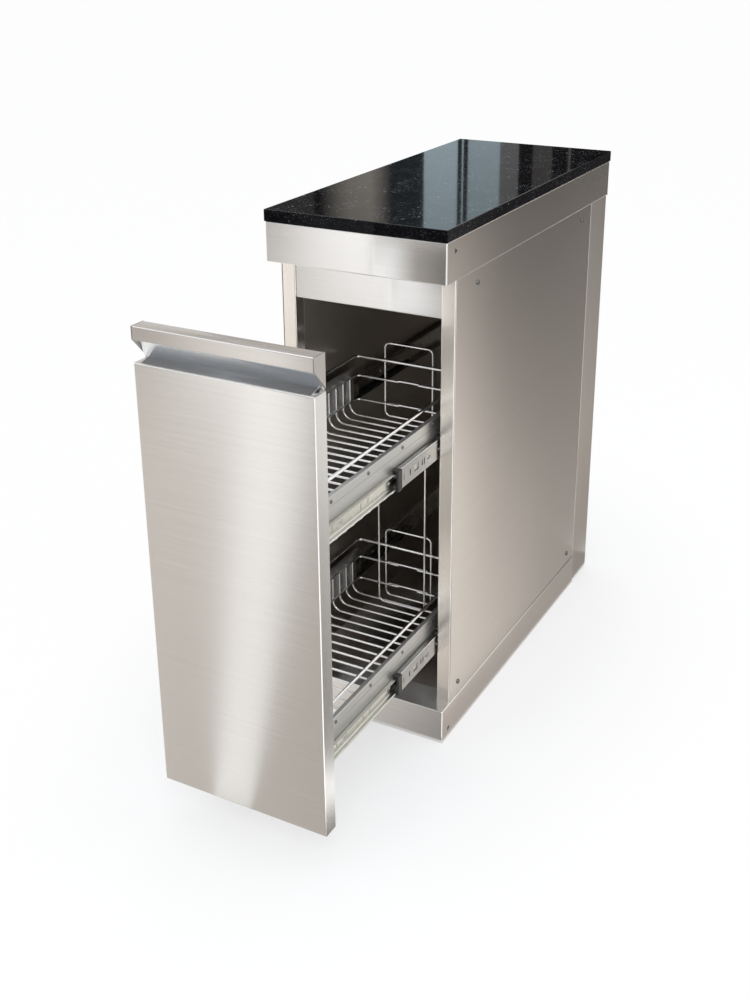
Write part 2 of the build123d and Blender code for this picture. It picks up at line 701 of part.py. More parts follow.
def rail_screw_cut(start, end):
    """The hole for one rail screw."""
    return rod(RAIL_SCREW_SHANK / 2 + FASTENER_PLAY, start, end)


def rail_screw_places(axis):
    """Where the screws stand along a rail's face, as (y, z)."""
    span = RAIL_SCREW_PITCH * (RAIL_SCREW_COUNT - 1)
    first = Y_BACKING + (BASKET_LENGTH - span) / 2
    z = axis + RAIL_ABOVE - RAIL_SCREW_EDGE
    return [(first + i * RAIL_SCREW_PITCH, z) for i in range(RAIL_SCREW_COUNT)]


def flange_screw_places():
    """Where the screws stand that hold the rails to the backing, as (distance from the middle, z)."""
    x = X_RAIL - RAIL_FLANGE / 2
    middle = (RAIL_ABOVE - RAIL_BELOW) / 2
    offsets = (-FLANGE_SCREW_SPACING / 2, FLANGE_SCREW_SPACING / 2)
    return [(x, axis + middle + step) for axis in AXES.values() for step in offsets]


def basket_rail_left(axis):
    """The left rail between a basket and its slide: a lip, a groove and a flange on the drawer."""
    low = axis - RAIL_BELOW
    high = axis + RAIL_ABOVE
    points = [(-X_RAIL, low), (-X_RAIL, high), (-X_RAIL + RAIL_LIP, high)]
    rail = along_y(section(points, Side.RIGHT, RAIL_SHEET, BEND), (Y_BACKING, Y_BASKET_REAR))
    rail += block((-X_RAIL, -X_RAIL + RAIL_FLANGE), (Y_BACKING, Y_BACKING + RAIL_SHEET), (low, high - BEND))
    groove = high - RAIL_GROOVE_DROP
    groove_x = (-X_RAIL, -X_RAIL + RAIL_GROOVE_DEPTH)
    rail -= block(groove_x, (Y_BACKING, Y_BASKET_REAR), (groove, groove + RAIL_GROOVE_WIDTH))
    for y, z in rail_screw_places(axis):
        rail -= rail_screw_cut((-X_RAIL, y, z), (-X_RAIL + RAIL_SHEET, y, z))
    for x, z in flange_screw_places():
        rail -= rail_screw_cut((-x, Y_BACKING, z), (-x, Y_BACKING + RAIL_SHEET, z))
    return rail


def rail_screw(seat, inward, depth):
    """A round-head screw whose head sits at a point, with its shank going inward."""
    under = Vector(*seat) - Vector(*inward) * WELD_GAP
    top = under - Vector(*inward) * RAIL_SCREW_DOME
    tip = Vector(*seat) + Vector(*inward) * depth
    head = extrude(Plane(origin=top, z_dir=inward) * Circle(RAIL_SCREW_HEAD / 2), amount=RAIL_SCREW_DOME)
    rim = head.faces().sort_by_distance(top)[0].edges()
    return fillet(rim, RAIL_SCREW_DOME * 0.8) + rod(RAIL_SCREW_SHANK / 2, tuple(under), tuple(tip))


def rail_screws():
    """The screws along the rails and those through their flanges."""
    left = []
    for axis in AXES.values():
        for y, z in rail_screw_places(axis):
            left.append(rail_screw((-X_RAIL, y, z), (1, 0, 0), RAIL_SHEET))
    for x, z in flange_screw_places():
        left.append(rail_screw((-x, Y_BACKING + RAIL_SHEET, z), (0, -1, 0), RAIL_SHEET + SHEET))
    return group(left + [mirror(screw, about=Plane.YZ) for screw in left])


def basket_rim(axis):
    """The closed wire round the top of a basket."""
    front = Y_BACKING + RIM_WIRE / 2 + WELD_GAP
    z = axis + RIM_RISE
    rear = Y_BASKET_REAR
    corners = [(-X_WIRE, front, z), (X_WIRE, front, z), (X_WIRE, rear, z), (-X_WIRE, rear, z)]
    return wire(RIM_WIRE, corners, WIRE_CORNER, closed=True)


def basket_sides(axis):
    """The two levels of side wires: a left and a right half each, joined at the rear by a splice."""
    front = Y_BACKING + FRONT_ROOM / 2
    behind = Y_BASKET_REAR + BASKET_WIRE + WELD_GAP
    splice_left = GUARD_LEFT + 1.5 * BASKET_WIRE
    splice_right = GUARD_RIGHT - 1.5 * BASKET_WIRE
    wires = []
    for z in (axis + MIDDLE_WIRE_RISE, axis - LOW_WIRE_DROP):
        for x, end in ((-X_WIRE, -LEFT_WIRE_END), (X_WIRE, RIGHT_WIRE_END)):
            run = [(x, front, z), (x, Y_BASKET_REAR, z), (end, Y_BASKET_REAR, z)]
            wires.append(wire(BASKET_WIRE, run, WIRE_CORNER))
        wires.append(rod(BASKET_WIRE / 2, (splice_left, behind, z), (splice_right, behind, z)))
    return group(wires)


def basket_cross_wires(axis):
    """The bent wires that make the floor and rise along both rails."""
    high = axis + MIDDLE_WIRE_RISE + BASKET_WIRE / 2
    low = axis - FLOOR_DROP
    wires = []
    for i in range(CROSS_WIRES):
        y = Y_LAST_CROSS - i * CROSS_WIRE_PITCH
        run = [(-X_UPRIGHT, y, high), (-X_UPRIGHT, y, low), (X_UPRIGHT, y, low), (X_UPRIGHT, y, high)]
        wires.append(wire(BASKET_WIRE, run, CROSS_WIRE_BEND))
    return group(wires)


def guard_loop(y, low, high):
    """A closed upright loop across the rear of a basket."""
    corners = [(GUARD_LEFT, y, low), (GUARD_RIGHT, y, low), (GUARD_RIGHT, y, high), (GUARD_LEFT, y, high)]
    return wire(BASKET_WIRE, corners, WIRE_CORNER, closed=True)


def rear_guard(axis):
    """The loop behind a basket's rear wires."""
    y = Y_BASKET_REAR + (RIM_WIRE + BASKET_WIRE) / 2 + WELD_GAP
    return guard_loop(y, axis - FLOOR_DROP, axis + GUARD_RISE)


def lower_guards():
    """The lower basket's rear loop, and the tall loop that stands beside its last cross wire."""
    beside = Y_LAST_CROSS - BASKET_WIRE - WELD_GAP
    high = UPPER_AXIS - FLOOR_DROP - TALL_GUARD_GAP
    return group([rear_guard(LOWER_AXIS), guard_loop(beside, LOWER_AXIS - FLOOR_DROP, high)])


def rim_clips():
    """The clips on the drawer's backing that hold the front of each rim."""
    reach = (Y_BACKING, Y_BACKING + RIM_WIRE + CLIP_WALL)
    clips = []
    for axis in AXES.values():
        z = axis + RIM_RISE
        for x in (-CLIP_SPREAD / 2, CLIP_SPREAD / 2):
            across = (x - CLIP_WIDTH / 2, x + CLIP_WIDTH / 2)
            tall = RIM_WIRE / 2 + CLIP_WALL
            clip = block(across, reach, (z - tall, z + tall))
            y = Y_BACKING + RIM_WIRE / 2 + WELD_GAP
            hold = RIM_WIRE / 2 + WELD_GAP
            clip -= rod(hold, (across[0], y, z), (across[1], y, z))
            clips.append(clip - block(across, (Y_BACKING, y), (z - hold, z + hold)))
    return group(clips)


def slide_set(make):
    """One left-hand slide piece at each height, with its mirror image, as a dictionary of four."""
    pieces = {}
    for level, axis in AXES.items():
        for side, piece in pair(make(axis)).items():
            pieces[f"{level}_{side}"] = piece
    return pieces


def four_of(make):
    """Small slide pieces that share a node: both heights and both sides."""
    return group(slide_set(make).values())


def cabinet_nodes():
    """Everything that stands still."""
    nodes = {
        "worktop": worktop(),
        "apron_front": apron_front(),
        "apron_rear": apron_rear(),
        "worktop_braces": worktop_braces(),
        "side_panel_screws": side_panel_screws(),
        "header_panel": header_panel(),
        "back_panel": back_panel(),
        "floor_panel": floor_panel(),
        "plinth_front": plinth_front(),
        "plinth_rear": plinth_rear(),
        "plinth_brace": plinth_brace(),
    }
    sided = {
        "apron": apron_left(),
        "front_post": front_post_left(),
        "rear_post": rear_post_left(),
        "side_panel": side_panel_left(),
        "inner_wall": inner_wall_left(),
        "plinth": plinth_left(),
    }
    for name, left in sided.items():
        for side, piece in pair(left).items():
            nodes[f"{name}_{side}"] = piece
    for place, piece in slide_set(slide_outer_left).items():
        nodes[f"slide_outer_{place}"] = piece
    nodes["slide_rivets"] = four_of(lambda axis: group([slide_rivet(y, axis) for y in rivet_places()]))
    return nodes


def outer_cage_nodes():
    """The cages and balls between the cabinet and middle members."""
    return {
        "outer_ball_cages": four_of(lambda axis: ball_cage(OUTER_CAGE_AT, OUTER_BALL_AT, OUTER_ROW, axis)),
        "outer_balls": four_of(lambda axis: group(balls(OUTER_BALL_AT, OUTER_ROW, axis))),
    }


def middle_nodes():
    """What moves with the middle slide members."""
    nodes = {f"slide_middle_{place}": piece for place, piece in slide_set(slide_middle_left).items()}
    nodes["slide_end_guides"] = four_of(end_guide)
    return nodes


def inner_cage_nodes():
    """The cages and balls between the middle and drawer members."""
    return {
        "inner_ball_cages": four_of(lambda axis: ball_cage(INNER_CAGE_AT, INNER_BALL_AT, INNER_ROW, axis)),
        "inner_balls": four_of(lambda axis: group(balls(INNER_BALL_AT, INNER_ROW, axis))),
    }


def drawer_nodes():
    """What moves with the drawer front."""
    nodes = {
        "drawer_face": drawer_face(),
        "drawer_backing": drawer_backing(),
        "handle_bar": handle_bar(),
        "handle_groove": handle_groove(),
        "handle_caps": group(pair(handle_cap_left()).values()),
        "rail_screws": rail_screws(),
        "rim_clips": rim_clips(),
        "upper_basket_guard": rear_guard(UPPER_AXIS),
        "lower_basket_guards": lower_guards(),
    }
    for level, axis in AXES.items():
        nodes[f"{level}_basket_rim"] = basket_rim(axis)
        nodes[f"{level}_basket_sides"] = basket_sides(axis)
        nodes[f"{level}_basket_cross_wires"] = basket_cross_wires(axis)
    for place, piece in slide_set(slide_inner_left).items():
        nodes[f"slide_inner_{place}"] = piece
    for place, piece in slide_set(basket_rail_left).items():
        nodes[f"basket_rail_{place}"] = piece
    return nodes


def main():
    """Write every node where it stands with the drawer pulled out."""
    os.makedirs("parts", exist_ok=True)
    groups = [
        (cabinet_nodes(), 0.0),
        (outer_cage_nodes(), OUTER_CAGE_OUT),
        (middle_nodes(), MIDDLE_OUT),
        (inner_cage_nodes(), INNER_CAGE_OUT),
        (drawer_nodes(), DRAWER_OUT),
    ]
    for nodes, reach in groups:
        for name, piece in nodes.items():
            export_step(Pos(0, -reach, 0) * piece, f"parts/{name}.step")


main()
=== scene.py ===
"""Dresses the outdoor kitchen cabinet: stone worktop, brushed steel body, pull-out drawer and wire baskets.

Every length is in metres, in the part's own frame: +X to the right, the drawer opens towards -Y, +Z up.
"""

from __future__ import annotations

import logging
import math
from dataclasses import dataclass, field, replace
from enum import Enum
from typing import Any, Union

import bpy
from mathutils import Euler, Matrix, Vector

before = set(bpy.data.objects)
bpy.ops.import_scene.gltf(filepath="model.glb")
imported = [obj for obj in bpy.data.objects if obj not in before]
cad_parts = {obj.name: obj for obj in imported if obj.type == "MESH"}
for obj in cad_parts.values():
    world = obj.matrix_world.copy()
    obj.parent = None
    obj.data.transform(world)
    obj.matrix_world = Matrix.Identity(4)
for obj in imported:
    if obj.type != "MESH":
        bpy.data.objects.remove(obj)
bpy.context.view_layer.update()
# DARK_HEAD is the fold colour of the screw heads, which are painted near black as painted shade.
DARK_HEAD = (0.22, 0.21, 0.20)
FOLD_EDGES = (0.80, 0.96)
QUARTER_TURN = 0.25
CARD_LIFT = 0.002
CARD_WARMTH = 0.06

log = logging.getLogger("cabinet")
Colour = tuple[float, float, float]
Point = tuple[float, float, float]
Spot = tuple[float, float]
Span = tuple[float, float]
Stop = tuple[float, Colour]
Levels = tuple[float, float, float, float]
Number = Union[int, float]


class Grain(Enum):
    """The axis that a sheet was brushed along, by its number."""

    ACROSS = 0
    DEEP = 1
    UPRIGHT = 2


class Signal:
    """A shader socket that takes part in Python expressions."""

    def __init__(self, recipe: "Recipe", socket: bpy.types.NodeSocket) -> None:
        """Keeps the socket and the recipe that it belongs to.

        Args:
            recipe: the material being written.
            socket: an output of one of its nodes.
        """
        self.recipe = recipe
        self.socket = socket

    def _math(self, operation: str, *values: Union["Signal", Number]) -> "Signal":
        """Adds one Math node.

        Args:
            operation: the node's operation.
            values: its inputs, in order.

        Returns:
            The node's result.
        """
        return self.recipe.node("ShaderNodeMath", {"operation": operation}, dict(enumerate(values)))

    def __add__(self, other: Union["Signal", Number]) -> "Signal":
        """self + other."""
        return self._math("ADD", self, other)

    def __radd__(self, other: Number) -> "Signal":
        """other + self."""
        return self._math("ADD", other, self)

    def __sub__(self, other: Union["Signal", Number]) -> "Signal":
        """self - other."""
        return self._math("SUBTRACT", self, other)

    def __rsub__(self, other: Number) -> "Signal":
        """other - self."""
        return self._math("SUBTRACT", other, self)

    def __mul__(self, other: Union["Signal", Number]) -> "Signal":
        """self * other."""
        return self._math("MULTIPLY", self, other)

    def __rmul__(self, other: Number) -> "Signal":
        """other * self."""
        return self._math("MULTIPLY", other, self)

    def __gt__(self, other: Union["Signal", Number]) -> "Signal":
        """1 where self is above other, and 0 elsewhere."""
        return self._math("GREATER_THAN", self, other)

    def at_least(self, other: Union["Signal", Number]) -> "Signal":
        """The greater of self and other."""
        return self._math("MAXIMUM", self, other)

    def size(self) -> "Signal":
        """The value without its sign."""
        return self._math("ABSOLUTE", self)

    def ease(self, low: float, high: float) -> "Signal":
        """A smooth step from 0 at low to 1 at high.

        Args:
            low: where the step starts.
            high: where it ends.

        Returns:
            The eased value.
        """
        settings = {"interpolation_type": "SMOOTHSTEP"}
        inputs = {"Value": self, "From Min": low, "From Max": high}
        return self.recipe.node("ShaderNodeMapRange", settings, inputs)


Input = Union[Signal, Number, Colour]


class Recipe:
    """One material or world, written node by node."""

    def __init__(self, tree: bpy.types.NodeTree) -> None:
        """Empties the tree.

        Args:
            tree: the node tree to write into.
        """
        self.tree = tree
        tree.nodes.clear()

    def raw(self, kind: str, settings: dict[str, Any], inputs: dict[Any, Input]) -> bpy.types.Node:
        """Adds a node.

        Args:
            kind: the node's type.
            settings: its own properties, which are set first.
            inputs: values or signals by socket name or number.

        Returns:
            The node.
        """
        node = self.tree.nodes.new(kind)
        for name, value in settings.items():
            setattr(node, name, value)
        for key, value in inputs.items():
            self._feed(node.inputs[key], value)
        return node

    def _feed(self, socket: bpy.types.NodeSocket, value: Input) -> None:
        """Links a signal to a socket, or sets its value.

        Args:
            socket: the input.
            value: what it takes.
        """
        if isinstance(value, Signal):
            self.tree.links.new(value.socket, socket)
        elif isinstance(value, tuple) and socket.type == "RGBA":
            socket.default_value = (*value, 1.0)
        else:
            socket.default_value = value

    def node(self, kind: str, settings: dict[str, Any], inputs: dict[Any, Input], output: Any = 0) -> Signal:
        """Adds a node and gives one of its outputs.

        Args:
            kind: the node's type.
            settings: its own properties.
            inputs: values or signals by socket name or number.
            output: the name or number of the output.

        Returns:
            That output.
        """
        return Signal(self, self.raw(kind, settings, inputs).outputs[output])

    def place(self) -> Signal:
        """The point on the piece, in metres in the part's frame."""
        return self.node("ShaderNodeTexCoord", {}, {}, "Object")

    def facing(self) -> list[Signal]:
        """How far the surface faces along each of the three axes."""
        normal = self.node("ShaderNodeNewGeometry", {}, {}, "Normal")
        return [Signal(self, side) for side in self.raw("ShaderNodeSeparateXYZ", {}, {0: normal}).outputs]

    def folds(self) -> Signal:
        """1 on rounded folds, which face between the axes, and 0 on flat sheet."""
        across, deep, up = [side.size() for side in self.facing()]
        return 1 - across.at_least(deep).at_least(up).ease(*FOLD_EDGES)

    def stretched(self, point: Signal, scale: Point) -> Signal:
        """The point with each axis scaled.

        Args:
            point: the point.
            scale: one factor for each axis.

        Returns:
            The scaled point.
        """
        return self.node("ShaderNodeVectorMath", {"operation": "MULTIPLY"}, {0: point, 1: scale})

    def noise(self, point: Signal, scale: float, detail: float = 2.0) -> Signal:
        """Soft noise from 0 to 1.

        Args:
            point: where it is read.
            scale: cells in a metre.
            detail: how many finer octaves it holds.

        Returns:
            The noise.
        """
        inputs = {"Vector": point, "Scale": scale, "Detail": detail}
        return self.node("ShaderNodeTexNoise", {}, inputs, "Fac")

    def blend(self, factor: Union[Signal, float], low: Input, high: Input) -> Signal:
        """A colour between two others.

        Args:
            factor: 0 for the first and 1 for the second.
            low: the first colour.
            high: the second colour.

        Returns:
            The mixed colour.
        """
        inputs = {0: factor, 6: low, 7: high}
        return self.node("ShaderNodeMix", {"data_type": "RGBA"}, inputs, 2)

    def dent(self, height: Signal, strength: float, distance: float) -> Signal:
        """A normal bumped by a height.

        Args:
            height: the height, from 0 to 1.
            strength: how far the normal leans.
            distance: the height's real size.

        Returns:
            The normal.
        """
        inputs = {"Strength": strength, "Distance": distance, "Height": height}
        return self.node("ShaderNodeBump", {}, inputs, "Normal")

    def surface(self, inputs: dict[str, Input]) -> None:
        """Ends a material in a Principled shader.

        Args:
            inputs: its sockets' values or signals.
        """
        shader = self.node("ShaderNodeBsdfPrincipled", {}, inputs)
        self.raw("ShaderNodeOutputMaterial", {}, {"Surface": shader})


class Finish:
    """A named finish that can write its own material once."""

    name: str

    def material(self) -> bpy.types.Material:
        """The finish's material, written on its first use."""
        found = bpy.data.materials.get(self.name)
        if found is None:
            found = bpy.data.materials.new(self.name)
            found.use_nodes = True
            self.write(Recipe(found.node_tree))
        return found

    def write(self, recipe: Recipe) -> None:
        """Writes the nodes.

        Args:
            recipe: the material to write into.
        """
        raise NotImplementedError


def shade(colour: Colour, factor: float) -> Colour:
    """A colour made lighter or darker, and no brighter than white.

    Args:
        colour: the colour.
        factor: over 1 for lighter.

    Returns:
        The new colour.
    """
    return tuple(min(1.0, part * factor) for part in colour)


@dataclass(frozen=True)
class BrushedSteel(Finish):
    """Stainless sheet brushed in one direction. Its scales are cells in a metre."""

    name: str
    colour: Colour
    roughness: float
    grain: Grain
    stretch: float = 0.88
    contrast: float = 0.035
    fine_across: float = 2600.0
    fine_along: float = 6.0
    broad_across: float = 520.0
    broad_along: float = 1.5
    cloud_scale: float = 4.0
    fine_tone: float = 0.5
    broad_tone: float = 0.3
    cloud_tone: float = 0.2
    tone_edges: Span = (0.3, 0.7)
    fine_rough: float = 0.06
    cloud_rough: float = 0.05
    scratch_depth: float = 0.006
    wave_depth: float = 0.25
    wave_scale: float = 4.0
    bump_height: float = 0.001
    # Painted highlight on the rounded folds: its colour, and how much of it shows.
    fold_highlight_colour: Colour = (0.95, 0.94, 0.92)
    fold_highlight_share: float = 0.85
    # Painted shade on faces that look up: the share of the colour they keep, where 1 paints none.
    painted_ledge_shade: float = 1.0
    ledge_edges: Span = (0.6, 0.9)

    def scratch_scale(self, across: float, along: float) -> Point:
        """Scales a point so that noise runs along the grain.

        Args:
            across: cells in a metre across the grain.
            along: cells in a metre along it.

        Returns:
            One factor for each axis.
        """
        scale = [across] * 3
        scale[self.grain.value] = along
        return tuple(scale)

    def write(self, recipe: Recipe) -> None:
        """Writes scratches at two widths, slow clouds, faint waves and a painted highlight on the folds."""
        point = recipe.place()
        fine_scale = self.scratch_scale(self.fine_across, self.fine_along)
        broad_scale = self.scratch_scale(self.broad_across, self.broad_along)
        fine = recipe.noise(recipe.stretched(point, fine_scale), 1.0)
        broad = recipe.noise(recipe.stretched(point, broad_scale), 1.0)
        cloud = recipe.noise(point, self.cloud_scale)
        wave = recipe.noise(point, self.wave_scale, 0.0)
        tone = self.fine_tone * fine + self.broad_tone * broad + self.cloud_tone * cloud
        dark, light = shade(self.colour, 1 - self.contrast), shade(self.colour, 1 + self.contrast)
        colour = recipe.blend(tone.ease(*self.tone_edges), dark, light)
        # Painted shade: faces that look up are darkened to a share of the colour.
        if self.painted_ledge_shade < 1.0:
            ledge = recipe.facing()[2].ease(*self.ledge_edges)
            colour = recipe.blend(ledge, colour, shade(self.colour, self.painted_ledge_shade))
        relief = self.scratch_depth * fine + self.wave_depth * wave
        recipe.surface({
            # Painted highlight: rounded folds get a paler base colour, standing in for the bright lines
            # light draws along them.
            "Base Color": recipe.blend(self.fold_highlight_share * recipe.folds(), colour, self.fold_highlight_colour),
            "Metallic": 1.0,
            "Roughness": self.roughness + self.fine_rough * (fine - 0.5) + self.cloud_rough * (cloud - 0.5),
            "Anisotropic": self.stretch,
            "Anisotropic Rotation": 0.0 if self.grain is Grain.UPRIGHT else QUARTER_TURN,
            "Normal": recipe.dent(relief, 1.0, self.bump_height),
        })


@dataclass(frozen=True)
class Fleck:
    """One size of pale grain in stone: its cells in a metre, the share that shows, and how strongly.

    It shows least between the swarms of grains, and gains where they are.
    """

    scale: float
    share: float
    least: float
    gain: float


@dataclass(frozen=True)
class PolishedGranite(Finish):
    """Dark polished stone with fine pale specks. Its scales are cells in a metre."""

    name: str = "polished_granite"
    ground: Colour = (0.002, 0.002, 0.003)
    crystal: Colour = (0.012, 0.014, 0.017)
    speck: Colour = (0.42, 0.44, 0.46)
    crystal_scale: float = 260.0
    crystal_share: float = 0.35
    flecks: tuple[Fleck, ...] = (
        Fleck(190.0, 0.025, 0.25, 0.50),
        Fleck(420.0, 0.11, 0.20, 0.50),
        Fleck(900.0, 0.24, 0.08, 0.42),
    )
    cell_edges: Span = (0.18, 0.48)
    swarm_scale: float = 22.0
    swarm_detail: float = 3.0
    swarm_edges: Span = (0.38, 0.66)
    top_edges: Span = (0.3, 0.9)
    # Painted shade: the share of the pale grain that shows on upright faces, which are dimmed as if in
    # shade.
    shaded_side_specks: float = 0.25
    roughness: float = 0.05
    rough_spread: float = 0.04
    rough_scale: float = 40.0
    sheen: float = 0.06
    coat: float = 0.5
    coat_roughness: float = 0.04

    def grains(self, recipe: Recipe, point: Signal, scale: float, share: float) -> Signal:
        """A share of a stone's cells, each with a soft edge.

        Args:
            recipe: the material being written.
            point: where it is read.
            scale: cells in a metre.
            share: the part of the cells that are kept.

        Returns:
            1 inside a kept cell, falling to 0 at its edge.
        """
        cell = recipe.raw("ShaderNodeTexVoronoi", {}, {"Vector": point, "Scale": scale})
        tint = Signal(recipe, cell.outputs["Color"])
        pick = recipe.node("ShaderNodeSeparateColor", {}, {"Color": tint}, "Red")
        inside = 1 - Signal(recipe, cell.outputs["Distance"]).ease(*self.cell_edges)
        return (pick > 1 - share) * inside

    def write(self, recipe: Recipe) -> None:
        """Writes faint crystals and three sizes of pale grain over a near black ground, with the grain
        dimmed on upright faces as painted shade.
        """
        point = recipe.place()
        swarm = recipe.noise(point, self.swarm_scale, self.swarm_detail).ease(*self.swarm_edges)
        top = recipe.facing()[2].ease(*self.top_edges)
        crystals = self.grains(recipe, point, self.crystal_scale, self.crystal_share)
        colour = recipe.blend(crystals, self.ground, self.crystal)
        for fleck in self.flecks:
            # Painted shade: the grain shows fully on the top and dims on upright faces.
            strength = (self.shaded_side_specks + (1 - self.shaded_side_specks) * top) * (fleck.least + fleck.gain * swarm)
            shown = strength * self.grains(recipe, point, fleck.scale, fleck.share)
            colour = recipe.blend(shown, colour, self.speck)
        recipe.surface({
            "Base Color": colour,
            "Roughness": self.roughness + self.rough_spread * recipe.noise(point, self.rough_scale),
            "Specular IOR Level": self.sheen,
            "Coat Weight": self.coat * top,
            "Coat Roughness": self.coat_roughness,
        })


@dataclass(frozen=True)
class BrightWire(Finish):
    """Round wire with a bright plated skin."""

    name: str = "bright_wire"
    colour: Colour = (0.90, 0.90, 0.90)
    roughness: float = 0.15
    dull_scale: float = 30.0
    dull_shade: float = 0.92
    bright_shade: float = 1.05
    dull_rough: float = 0.10
    drawn_scale: float = 900.0
    drawn_rough: float = 0.04
    bump_strength: float = 0.03
    bump_height: float = 0.0002

    def write(self, recipe: Recipe) -> None:
        """Writes a plated skin with faint drawing lines and dull patches."""
        point = recipe.place()
        dull = recipe.noise(point, self.dull_scale)
        drawn = recipe.noise(point, self.drawn_scale)
        dark, light = shade(self.colour, self.dull_shade), shade(self.colour, self.bright_shade)
        recipe.surface({
            "Base Color": recipe.blend(dull, dark, light),
            "Metallic": 1.0,
            "Roughness": self.roughness + self.dull_rough * (dull - 0.5) + self.drawn_rough * (drawn - 0.5),
            "Normal": recipe.dent(drawn, self.bump_strength, self.bump_height),
        })


@dataclass(frozen=True)
class ZincPlate(Finish):
    """Pressed steel with a faintly olive zinc coat."""

    name: str
    colour: Colour
    roughness: float = 0.30
    # Painted highlight on the rounded folds: its colour, and how much of it shows.
    fold_highlight_colour: Colour = (0.88, 0.88, 0.86)
    fold_highlight_share: float = 0.8
    contrast: float = 0.04
    rolled_scale: Point = (900.0, 8.0, 900.0)
    rolled_rough: float = 0.06
    mottle_scale: float = 120.0
    mottle_detail: float = 4.0
    mottle_edges: Span = (0.3, 0.7)
    mottle_rough: float = 0.06
    bump_strength: float = 0.01
    bump_height: float = 0.0002

    def write(self, recipe: Recipe) -> None:
        """Writes rolling lines along the member, a mottled coat and a painted highlight on the folds."""
        point = recipe.place()
        rolled = recipe.noise(recipe.stretched(point, self.rolled_scale), 1.0)
        mottle = recipe.noise(point, self.mottle_scale, self.mottle_detail)
        dark, light = shade(self.colour, 1 - self.contrast), shade(self.colour, 1 + self.contrast)
        colour = recipe.blend(mottle.ease(*self.mottle_edges), dark, light)
        rough = self.mottle_rough * (mottle - 0.5) + self.rolled_rough * (rolled - 0.5)
        recipe.surface({
            # Painted highlight: rounded folds get a paler base colour.
            "Base Color": recipe.blend(self.fold_highlight_share * recipe.folds(), colour, self.fold_highlight_colour),
            "Metallic": 1.0,
            "Roughness": self.roughness + rough,
            "Normal": recipe.dent(rolled, self.bump_strength, self.bump_height),
        })


@dataclass(frozen=True)
class MouldedPlastic(Finish):
    """Black moulded plastic with a fine spark-eroded texture."""

    name: str = "guide_black"
    colour: Colour = (0.012, 0.012, 0.013)
    roughness: float = 0.45
    grain_scale: float = 2500.0
    grain_rough: float = 0.15
    rub_scale: float = 90.0
    rub_detail: float = 3.0
    rub_edges: Span = (0.55, 0.8)
    rub_shade: float = 2.4
    bump_strength: float = 0.15
    bump_height: float = 0.0001

    def write(self, recipe: Recipe) -> None:
        """Writes a fine grain and a slight greying where it rubs."""
        point = recipe.place()
        grain = recipe.noise(point, self.grain_scale)
        rub = recipe.noise(point, self.rub_scale, self.rub_detail)
        rubbed = shade(self.colour, self.rub_shade)
        recipe.surface({
            "Base Color": recipe.blend(rub.ease(*self.rub_edges), self.colour, rubbed),
            "Roughness": self.roughness + self.grain_rough * (grain - 0.5),
            "Normal": recipe.dent(grain, self.bump_strength, self.bump_height),
        })


class Side(Enum):
    """The two sides of the cabinet."""

    LEFT = "left"
    RIGHT = "right"


class Level(Enum):
    """The two basket levels."""

    UPPER = "upper"
    LOWER = "lower"


PLACES = [f"{level.value}_{side.value}" for level in Level for side in Side]


def both(*names: str) -> list[str]:
    """Node names for the left and right of each piece.

    Args:
        names: the pieces' names without a side.

    Returns:
        The node names.
    """
    return [f"{name}_{side.value}" for name in names for side in Side]


def dress(finish: Finish, nodes: list[str]) -> None:
    """Gives CAD nodes one finish.

    Args:
        finish: what they are made of.
        nodes: their names.
    """
    for name in nodes:
        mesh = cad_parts[name].data
        mesh.materials.clear()
        mesh.materials.append(finish.material())
        log.info("dressed %s in %s", name, finish.name)


@dataclass
class Worktop:
    """The polished stone slab."""

    stone: PolishedGranite = field(default_factory=PolishedGranite)

    def dress(self) -> None:
        """Gives the slab its stone."""
        dress(self.stone, ["worktop"])


@dataclass
class CabinetBody:
    """The fixed sheet steel: apron, posts, panels, plinth and the bay behind them."""

    apron: BrushedSteel = BrushedSteel("apron_steel", (0.72, 0.71, 0.70), 0.22, Grain.ACROSS, stretch=0.75)
    side: BrushedSteel = BrushedSteel("side_steel", (0.62, 0.585, 0.55), 0.21, Grain.DEEP)
    side_trim: BrushedSteel = replace(side, name="side_trim_steel")
    post: BrushedSteel = BrushedSteel(
        "post_steel", (0.93, 0.88, 0.82), 0.24, Grain.UPRIGHT, wave_depth=0.8, wave_scale=14.0
    )
    rear_strip: BrushedSteel = BrushedSteel("rear_strip_steel", (0.56, 0.525, 0.485), 0.30, Grain.UPRIGHT)
    bay: BrushedSteel = BrushedSteel("bay_steel", (0.50, 0.46, 0.42), 0.36, Grain.UPRIGHT)
    # Painted shade: the screw heads are coloured near black to stand in for the shade on them.
    screw: ZincPlate = ZincPlate("screw_steel", (0.13, 0.13, 0.14), 0.32, DARK_HEAD)

    def dress(self) -> None:
        """Gives each sheet the finish and brushing of its place."""
        dress(self.apron, ["apron_front", "apron_rear", "plinth_front", "plinth_rear", "header_panel"])
        dress(self.side, both("side_panel"))
        dress(self.side_trim, both("apron", "plinth"))
        dress(self.rear_strip, both("rear_post"))
        dress(self.post, both("front_post"))
        dress(self.bay, ["back_panel", "floor_panel", "worktop_braces", "plinth_brace", *both("inner_wall")])
        dress(self.screw, ["side_panel_screws", "slide_rivets"])


